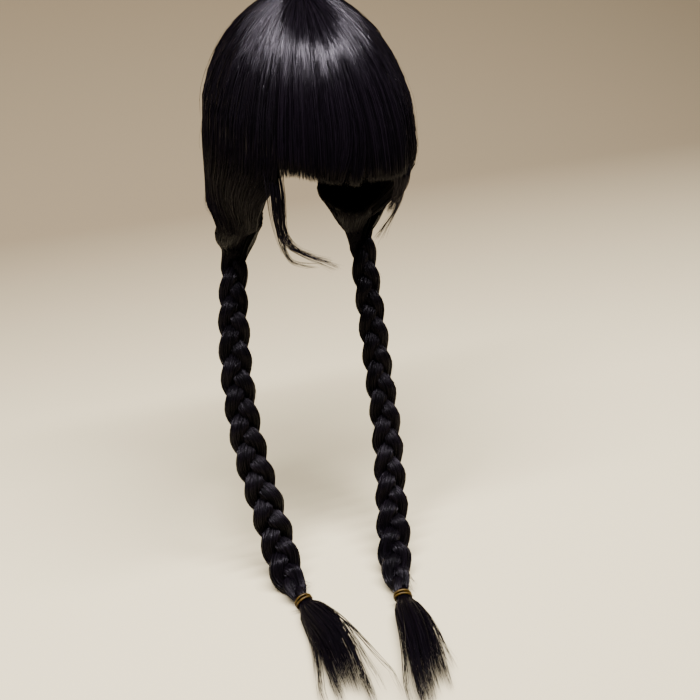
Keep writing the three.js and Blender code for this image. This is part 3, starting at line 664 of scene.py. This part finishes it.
for seed, side in enumerate(HANDS):
    for strand in (1, 2, 3):
        dress(strand_core(side, strand), mass_hair, "hair", f"braid_{side}_strand_{strand}")
        rng = np.random.default_rng(101 + 10 * seed + strand)
        dress(strand_fibres(side, strand, rng, count=310, steps=18), plait, "hair")
    rng = np.random.default_rng(141 + seed)
    # The strands from the bunch into the plait take the duller copy of the fibre, which is painted shade.
    dress(lead_strands(side, rng, count=240, steps=15), gathered_painted_shade, "hair")

# Rubber bands
# A small band of translucent tan rubber, wound twice round the end of each plait so that its turns cross.
# Only its own stretch holds it, where it pinches the three strands together.
BAND_CORD, BAND_ALONG, BAND_SPREAD, BAND_TILT = 1.0, 5.0, 1.35, 9.0
NECK_ACROSS, NECK_UP, BAND_SLACK = 6.4, 4.8, 1.04

rubber, nodes, links = new_material("tan rubber")
shader = nodes["Principled BSDF"]
set_sockets(shader, {"Roughness": 0.38, "Specular IOR Level": 0.13, "IOR": 1.52, "Subsurface Weight": 0.15,
                     "Subsurface Radius": (0.004, 0.002, 0.0008), "Subsurface Scale": 0.4})
coords = nodes.new("ShaderNodeTexCoord")
mottle = nodes.new("ShaderNodeTexNoise")
set_sockets(mottle, {"Scale": 420.0, "Detail": 4.0})
tint = nodes.new("ShaderNodeValToRGB")
tint.color_ramp.elements[0].color = (0.0125, 0.0052, 0.0003, 1)
tint.color_ramp.elements[0].position = 0.3
tint.color_ramp.elements[1].color = (0.0570, 0.0320, 0.0030, 1)
tint.color_ramp.elements[1].position = 0.7
links.new(coords.outputs["Object"], mottle.inputs["Vector"])
links.new(mottle.outputs["Fac"], tint.inputs["Fac"])
links.new(tint.outputs["Color"], shader.inputs["Base Color"])


def band_turn(side, name, way):
    """One turn of a band's cord, leaning one way so that it crosses the other turn."""
    middle = np.array([routes[side].band + BAND_ALONG])
    centre, along, face, across = (v[0] for v in routes[side].at(middle))

    def place(a, b):
        turn, round_cord = 2 * np.pi * b, 2 * np.pi * a
        lean = way * (BAND_SPREAD + np.tan(np.radians(BAND_TILT)) * NECK_UP * np.sin(turn))
        wide = (NECK_ACROSS + BAND_CORD + PIECE_GAP) * BAND_SLACK + BAND_CORD * np.cos(round_cord)
        tall = (NECK_UP + BAND_CORD + PIECE_GAP) * BAND_SLACK + BAND_CORD * np.cos(round_cord)
        return (centre + along * (lean + BAND_CORD * np.sin(round_cord))[:, None]
                + across * (wide * np.cos(turn))[:, None] + face * (tall * np.sin(turn))[:, None])
    return wrapped_sheet(f"rubber_band_{side}_{name}_turn", columns=12, rows=64, place=place)


for side in HANDS:
    dress(band_turn(side, "first", -1), rubber, "rubber", f"elastic_band_{side}")
    dress(band_turn(side, "second", 1), rubber, "rubber")

# Loose tails
# Below its band each plait ends in a loose brush of fibre that spreads as it lies. It parts into a few
# pointed locks and thins out to ragged tips.
TAIL_FORM = {"along": [0, 9.5, 20, 36, 60, 86, 110, 140],
             "across": [6.4, 6.4, 13, 16.5, 17.5, 17.5, 17.5, 17.5],
             "up": [4.8, 4.8, 7.6, 8.6, 8.2, 6.4, 4, 2.2]}
TAIL_LOCKS = {
    "right": {"share": [0.015, 0.065, 0.20, 0.28, 0.20, 0.18, 0.035, 0.025],
              "across": [-1.75, -1.45, -0.65, 0.0, 0.45, 0.85, 1.5, 2.2],
              "reach": [106, 142, 134, 124, 130, 146, 138, 148], "hold": [1, 1, 0.6, 0.3, 0.5, 0.9, 1, 1]},
    "left": {"share": [0.06, 0.22, 0.24, 0.16, 0.16, 0.13, 0.03],
             "across": [-1.4, -0.9, -0.4, 0.1, 0.6, 0.9, 1.4],
             "reach": [150, 146, 140, 128, 116, 126, 104], "hold": [1, 0.6, 0.4, 0.4, 0.6, 0.9, 1]},
}
TAIL_LEAN, TAIL_LEAN_OVER = 0.1, 110
TAIL_MASS = {"along": [0, 0.55, 0.8, 1], "size": [0.88, 0.8, 0.5, 0.1]}
TAIL_MASS_FROM, TAIL_MASS_LENGTH = -6, 90
TAIL_ROOT, TAIL_CLEAR, TAIL_FILL, TAIL_THICK = 8, 0.7, (0.2, 1), (0.2, 0.4)
PARTS_FROM, PARTS_OVER, PARTS_CURVE = 30, 85, 1.4
ORDER_BLUR, AIM_BLUR, RAGGED_TIP = 0.15, 0.1, 13
SHORT_SHARE, SHORT_REACH, SHORT_FLARE, WEAK_FLARE = 0.18, (45, 105), (0.1, 0.6), 0.3
TAIL_SWAY, TAIL_SWAY_LENGTH = 0.06, (14, 30)
TAIL_TAPER = {"place": [0, 0.5, 1], "size": [1, 0.85, 0.22]}


def tail_points(side, distance, across_share, up_share):
    """Points of a tail: distance below its band, and shares of its half width and half height."""
    centre, along, face, across = routes[side].at(routes[side].band + PIECE_GAP + distance)
    wide = np.interp(distance, TAIL_FORM["along"], TAIL_FORM["across"])
    tall = np.interp(distance, TAIL_FORM["along"], TAIL_FORM["up"])
    across_share = across_share + TAIL_LEAN * np.sin(np.pi * np.clip(distance / TAIL_LEAN_OVER, 0, 1))
    return centre + across * (wide * across_share)[..., None] + face * (tall * up_share)[..., None]


def tail_mass(side):
    """The dark body inside the thick part of a tail."""
    def place(a, b):
        distance = TAIL_MASS_FROM + TAIL_MASS_LENGTH * b
        close = np.interp(b, TAIL_MASS["along"], TAIL_MASS["size"])
        return tail_points(side, distance, close * np.cos(2 * np.pi * a), close * np.sin(2 * np.pi * a))
    return wrapped_sheet(f"tail_{side}_mass", columns=32, rows=40, place=place)


def tail_strands(side, rng, count, steps):
    """Strands of a tail, which part into its locks, with short ends that flare out."""
    radius, turn = np.sqrt(rng.uniform(*TAIL_FILL, count)), rng.uniform(0, 2 * np.pi, count)
    begin = radius * np.cos(turn)
    order = (begin + rng.normal(0, ORDER_BLUR, count)).argsort().argsort() / count
    lock = np.searchsorted(np.cumsum(TAIL_LOCKS[side]["share"][:-1]), order, side="right")
    locked = {key: np.take(values, lock) for key, values in TAIL_LOCKS[side].items()}
    short = rng.uniform(size=count) < SHORT_SHARE
    short_reach = rng.uniform(*SHORT_REACH, count)
    reach = np.where(short, short_reach, locked["reach"] - rng.exponential(RAGGED_TIP, count))
    aim = begin * (1 - locked["hold"]) + locked["across"] * locked["hold"] + rng.normal(0, AIM_BLUR, count)
    aim = aim + short * rng.uniform(*SHORT_FLARE, count) * np.where(begin > 0, 1, -WEAK_FLARE)
    distance = -TAIL_ROOT + (reach[:, None] + TAIL_ROOT) * np.linspace(0, 1, steps)
    loose = np.clip((distance - PARTS_FROM) / PARTS_OVER, 0, 1) ** PARTS_CURVE
    length = rng.uniform(*TAIL_SWAY_LENGTH, count)[:, None]
    phase = rng.uniform(*WAVE_PHASE, count)[:, None]
    sway = TAIL_SWAY * np.sin(distance / length + phase)
    across_share = begin[:, None] * (1 - loose) + (aim[:, None] + sway) * loose
    paths = tail_points(side, distance, across_share, (radius * np.sin(turn))[:, None] * np.ones(steps))
    paths[..., 2] = np.maximum(paths[..., 2], FLOOR + TAIL_CLEAR)
    thick = thickness(rng, count, TAIL_THICK, np.linspace(0, 1, steps), TAIL_TAPER)
    outward = np.broadcast_to(np.array([0, 0, 1.0]), paths.shape)
    return fibre_piece(f"tail_{side}_strands", paths, thick, outward, rng)


for seed, side in enumerate(HANDS):
    dress(tail_mass(side), mass_hair, "hair", f"tail_{side}")
    rng = np.random.default_rng(201 + seed)
    dress(tail_strands(side, rng, count=500, steps=16), hair, "hair")

# Front locks
# Thin free locks of the same fibre hang in front of each side: a long one that curves inwards on the right
# as worn, and a short pointed one with a stray wisp on the left.
FACE_WISPS = {
    "right": [
        {"rows": [(-56, -82, -96, 5), (-56, -91.5, -114, 5), (-56.5, -100, -130, 6), (-57, -104, -148, 6),
                  (-56.5, -106.5, -162, 4.4), (-52, -109.5, -175, 2.8), (-39, -116, -184, 1.6),
                  (-23, -122, -191, 1.0), (-11, -126, -196.5, 0.4)], "count": 44},
        {"rows": [(-54, -82, -96, 5), (-54, -92, -114, 5), (-54.5, -101, -130, 5), (-54.5, -105, -148, 4.5),
                  (-53.5, -107.5, -164, 2.8), (-46, -112, -178, 1.5), (-31, -118, -186, 1.0),
                  (-15, -123, -191.5, 0.4)], "count": 22},
        {"rows": [(-57, -82, -100, 5), (-57.5, -91, -116, 5), (-58.5, -99.5, -130, 5),
                  (-59, -104.5, -150, 4.5), (-57, -107, -168, 2.6), (-54.5, -109.5, -181, 1.5),
                  (-49, -111, -191.5, 1.0), (-38, -113, -196, 0.5), (-28, -116, -197, 0.3)], "count": 22},
        {"rows": [(-59, -81, -100, 5), (-60, -90, -116, 5), (-61.5, -98.5, -132, 4),
                  (-61.5, -103.5, -150, 3), (-59, -105.5, -168, 1.6), (-55, -108, -184, 0.8)], "count": 20},
        {"rows": [(-52, -83, -96, 4), (-52.5, -93, -116, 4), (-53.5, -102.5, -132, 3),
                  (-53.5, -106, -150, 2), (-51, -108, -168, 1.2), (-42, -112, -181, 0.8),
                  (-30, -116, -186, 0.4)], "count": 10},
    ],
    "left": [
        {"rows": [(59, -82, -96, 6), (58.5, -91, -114, 7), (57.5, -98.5, -131, 7.5), (56.5, -98, -142, 6.5),
                  (53.5, -96, -153, 4), (48, -93, -166, 0.5)], "count": 150},
        {"rows": [(60, -83, -104, 4), (60, -92, -122, 3), (59.5, -95.5, -138, 2), (61, -89, -156, 1.4),
                  (55, -87.5, -171, 0.9), (44, -93, -181, 0.7), (34, -100, -187.5, 0.3)], "count": 34},
        {"rows": [(62, -80, -110, 4), (63, -87, -128, 3), (63.5, -87, -146, 2), (63, -82, -164, 1.6),
                  (57, -77, -182, 1.2), (50, -74, -198, 0.8)], "count": 9},
    ],
}
WISP_FAN, WISP_FAN_CURVE, WISP_DEEP = np.array([2.4, 1.4, 2.8]), 4, np.array([0, 0.4, 0])
FORWARD = np.array([0, -1.0, 0])
WISP_SHORT_SHARE, WISP_SHORT_END, WISP_THICK = 0.5, (0.62, 0.97), (0.15, 0.32)
WISP_TAPER = {"place": [0, 0.6, 1], "size": [1, 0.9, 0.3]}


def face_lock(side, rng, steps):
    """The free locks of one side: strands spread round each lock's middle line and fanned out at its tip."""
    lines, widths = [], []
    for wisp in FACE_WISPS[side]:
        table, count = np.array(wisp["rows"], float), wisp["count"]
        short = rng.uniform(size=count) < WISP_SHORT_SHARE
        end = np.where(short, rng.uniform(*WISP_SHORT_END, count), 1.0)
        place = np.linspace(0, 1, steps) * end[:, None]
        centre = along_rows(np.broadcast_to(table[:, :3], (count, *table[:, :3].shape)), place)
        spread = np.interp(place, np.linspace(0, 1, len(table)), table[:, 3])
        radius, turn = np.sqrt(rng.uniform(0, 1, count)), rng.uniform(0, 2 * np.pi, count)
        flank = unit(np.cross(FORWARD, np.gradient(centre, axis=1)))
        fan = rng.normal(0, 1, (count, 1, 3)) * WISP_FAN * place[..., None] ** WISP_FAN_CURVE
        sideways = flank * (spread * (radius * np.cos(turn))[:, None])[..., None]
        deep = WISP_DEEP * (spread * (radius * np.sin(turn))[:, None])[..., None]
        lines.append(centre + fan + sideways + deep)
        widths.append(thickness(rng, count, WISP_THICK, np.linspace(0, 1, steps), WISP_TAPER))
    paths, thick = np.concatenate(lines), np.concatenate(widths)
    outward = np.broadcast_to(FORWARD, paths.shape)
    return fibre_piece(f"face_lock_{side}_strands", paths, thick, outward, rng)


for seed, side in enumerate(HANDS):
    rng = np.random.default_rng(301 + seed)
    dress(face_lock(side, rng, steps=20), hair, "hair", f"face_lock_{side}")

# Stray hairs
# A few loose fibres stand off the combed surface and off the plaits, as on any wig that has been handled.
# Short ends stick out above the rubber bands.
STRAY_SIDE, STRAY_BRAID, STRAY_ENDS, STRAY_STEPS = 80, 140, {"right": 12, "left": 34}, 9
SIDE_STRAYS = {"start": (0.15, 0.62), "run": (0.1, 0.22), "rise": (1.0, 3.6), "thick": (0.08, 0.13)}
BRAID_STRAYS = {"length": (8, 22), "rise": (0.8, 3.2), "thick": (0.08, 0.13)}
BAND_STRAYS = {"length": (5, 12), "rise": (4.0, 9.0), "thick": (0.16, 0.26)}
BAND_STRAYS_FROM, BAND_STRAYS_TO, BAND_STRAYS_TURN, BAND_STRAYS_BLUR = 22, 4, 0.3, 0.5
STRAY_ARCH, STRAY_SINK, STRAY_TWIST, STRAY_CURVE, STRAY_CLEAR = 0.75 * np.pi, 0.8, 0.3, 1.5, 0.4
STRAY_FACE = np.array([0.3, -0.6, 0.7])


def stray_side_hairs(side, rng):
    """Hairs that rise off the combed surface of one side, and how thick each is."""
    rows = side_rows(side, rng.uniform(0, 1, STRAY_SIDE), np.zeros(STRAY_SIDE), False)
    start = rng.uniform(*SIDE_STRAYS["start"], STRAY_SIDE)
    run = rng.uniform(*SIDE_STRAYS["run"], STRAY_SIDE)
    paths = along_rows(rows, start[:, None] + run[:, None] * np.linspace(0, 1, STRAY_STEPS))
    arch = np.sin(np.linspace(0, STRAY_ARCH, STRAY_STEPS))
    lift = rng.uniform(*SIDE_STRAYS["rise"], STRAY_SIDE)[:, None] * arch - STRAY_SINK
    paths = paths + unit(paths - HOLLOW_MIDDLE) * lift[..., None]
    return paths, rng.uniform(*SIDE_STRAYS["thick"], STRAY_SIDE)


def stray_braid_hairs(side, rng):
    """Hairs that stand off one plait, then the short ends by its band, and how thick each is."""
    band, short = routes[side].band, STRAY_ENDS[side]
    count = STRAY_BRAID + short

    def drawn(measure):
        return np.append(rng.uniform(*BRAID_STRAYS[measure], STRAY_BRAID),
                         rng.uniform(*BAND_STRAYS[measure], short))

    begin = np.append(rng.uniform(0, band, STRAY_BRAID),
                      rng.uniform(band - BAND_STRAYS_FROM, band - BAND_STRAYS_TO, short))
    length = drawn("length")
    rise = drawn("rise")
    along = np.linspace(0, 1, STRAY_STEPS)
    distance = np.minimum(begin[:, None] + length[:, None] * along, band)
    turn = np.append(rng.uniform(0, 2 * np.pi, STRAY_BRAID),
                     rng.normal(BAND_STRAYS_TURN, BAND_STRAYS_BLUR, short))
    turn = turn[:, None] + STRAY_TWIST * along
    paths = np.zeros((count, STRAY_STEPS, 3))
    for strand in (1, 2, 3):
        own = np.arange(count) % 3 + 1 == strand
        paths[own] = strand_points(side, strand, distance[own], turn[own], np.ones((sum(own), STRAY_STEPS)))
    lift = rise[:, None] * along ** STRAY_CURVE
    paths = paths + unit(paths - routes[side].at(distance)[0]) * lift[..., None]
    paths[..., 2] = np.maximum(paths[..., 2], FLOOR + STRAY_CLEAR)
    return paths, drawn("thick")


rng = np.random.default_rng(401)
strays = [make(side, rng) for side in HANDS for make in (stray_side_hairs, stray_braid_hairs)]
paths = np.concatenate([lines for lines, widths in strays])
thick = np.concatenate([widths for lines, widths in strays])[:, None] * np.linspace(1, 0.5, STRAY_STEPS)
outward = np.broadcast_to(STRAY_FACE, paths.shape)
dress(fibre_piece("stray_hairs", paths, thick, outward, rng), hair, "hair")

# Stage, light and camera
# A cream sweep under and behind the wig, painted deeper up the wall as shade, and one long soft light high
# above and in front.
# The camera looks down at it from the right as worn.
SWEEP_BACK, SWEEP_DEPTH, SWEEP_BEND, SWEEP_HEIGHT, SWEEP_HALF_WIDTH = 0.75, 2.6, 0.45, 1.5, 3
SWEEP_GAP = 0.0006
LIGHT_PLACE, LIGHT_AIM, LIGHT_SIZE = (-0.15, -0.36, 1.6), (-0.15, -0.2, -0.5), (2.8, 0.14)
LIGHT_SPREAD, LIGHT_WATTS, LIGHT_COLOUR = 110, 137, (1.0, 0.985, 0.985)
CAMERA_PLACE, CAMERA_ROUND, CAMERA_RISE = (-0.3316, -1.010, 0.2647), -20.5, 30
CAMERA_FIELD, SENSOR = 32, 36

floor_level = cad_box[0][2] - SWEEP_GAP
quarter = SWEEP_BEND * np.pi / 2
bm = bmesh.new()
bmesh.ops.create_grid(bm, x_segments=2, y_segments=80, size=1)
for vert in bm.verts:
    run = (vert.co.y + 1) / 2 * (SWEEP_DEPTH + quarter + SWEEP_HEIGHT)
    arc = np.clip((run - SWEEP_DEPTH) / SWEEP_BEND, 0, np.pi / 2)
    y = SWEEP_BACK - SWEEP_DEPTH + min(run, SWEEP_DEPTH) + SWEEP_BEND * np.sin(arc)
    z = SWEEP_BEND * (1 - np.cos(arc)) + max(run - SWEEP_DEPTH - quarter, 0)
    vert.co = (vert.co.x * SWEEP_HALF_WIDTH, y, floor_level + z)
sweep_mesh = bpy.data.meshes.new("cream_sweep")
bm.to_mesh(sweep_mesh)
bm.free()
sweep_mesh.shade_smooth()
sweep = bpy.data.objects.new("cream_sweep", sweep_mesh)
bpy.context.collection.objects.link(sweep)
paper, nodes, links = new_material("cream backdrop")
set_sockets(nodes["Principled BSDF"], {"Roughness": 0.9, "Specular IOR Level": 0.1})
coords = nodes.new("ShaderNodeTexCoord")
parts = nodes.new("ShaderNodeSeparateXYZ")
# Painted shade: the cream is painted deeper from the back of the floor up the wall, for the lesser light
# that reaches the wall.
painted_wall_shade = nodes.new("ShaderNodeMapRange")
set_sockets(painted_wall_shade, {"From Min": 0.1, "From Max": 0.75})
tint = nodes.new("ShaderNodeValToRGB")
tint.color_ramp.elements[0].color = (0.410, 0.352, 0.234, 1)
tint.color_ramp.elements[1].color = (0.181, 0.141, 0.088, 1)
links.new(coords.outputs["Object"], parts.inputs["Vector"])
links.new(parts.outputs["Y"], painted_wall_shade.inputs["Value"])
links.new(painted_wall_shade.outputs["Result"], tint.inputs["Fac"])
links.new(tint.outputs["Color"], nodes["Principled BSDF"].inputs["Base Color"])
sweep_mesh.materials.append(paper)

light = bpy.data.lights.new("key", "AREA")
light.shape = "RECTANGLE"
light.size, light.size_y = LIGHT_SIZE
light.spread = np.radians(LIGHT_SPREAD)
light.energy = LIGHT_WATTS
light.color = LIGHT_COLOUR
lamp = bpy.data.objects.new("key", light)
lamp.location = LIGHT_PLACE
lamp.rotation_euler = (Vector(LIGHT_AIM) - Vector(LIGHT_PLACE)).to_track_quat("-Z", "Y").to_euler()
bpy.context.collection.objects.link(lamp)
world = bpy.data.worlds.new("studio")
world.use_nodes = True
set_sockets(world.node_tree.nodes["Background"], {"Color": (1.0, 0.97, 0.95, 1), "Strength": 0.36})
bpy.context.scene.world = world

around, rise = np.radians(CAMERA_ROUND), np.radians(CAMERA_RISE)
back = (np.sin(around) * np.cos(rise), -np.cos(around) * np.cos(rise), np.sin(rise))
lens = bpy.data.cameras.new("camera")
lens.sensor_width = SENSOR
lens.lens = SENSOR / 2 / np.tan(np.radians(CAMERA_FIELD / 2))
camera = bpy.data.objects.new("camera", lens)
camera.location = CAMERA_PLACE
camera.rotation_euler = (-Vector(back)).to_track_quat("-Z", "Y").to_euler()
bpy.context.collection.objects.link(camera)
bpy.context.scene.camera = camera
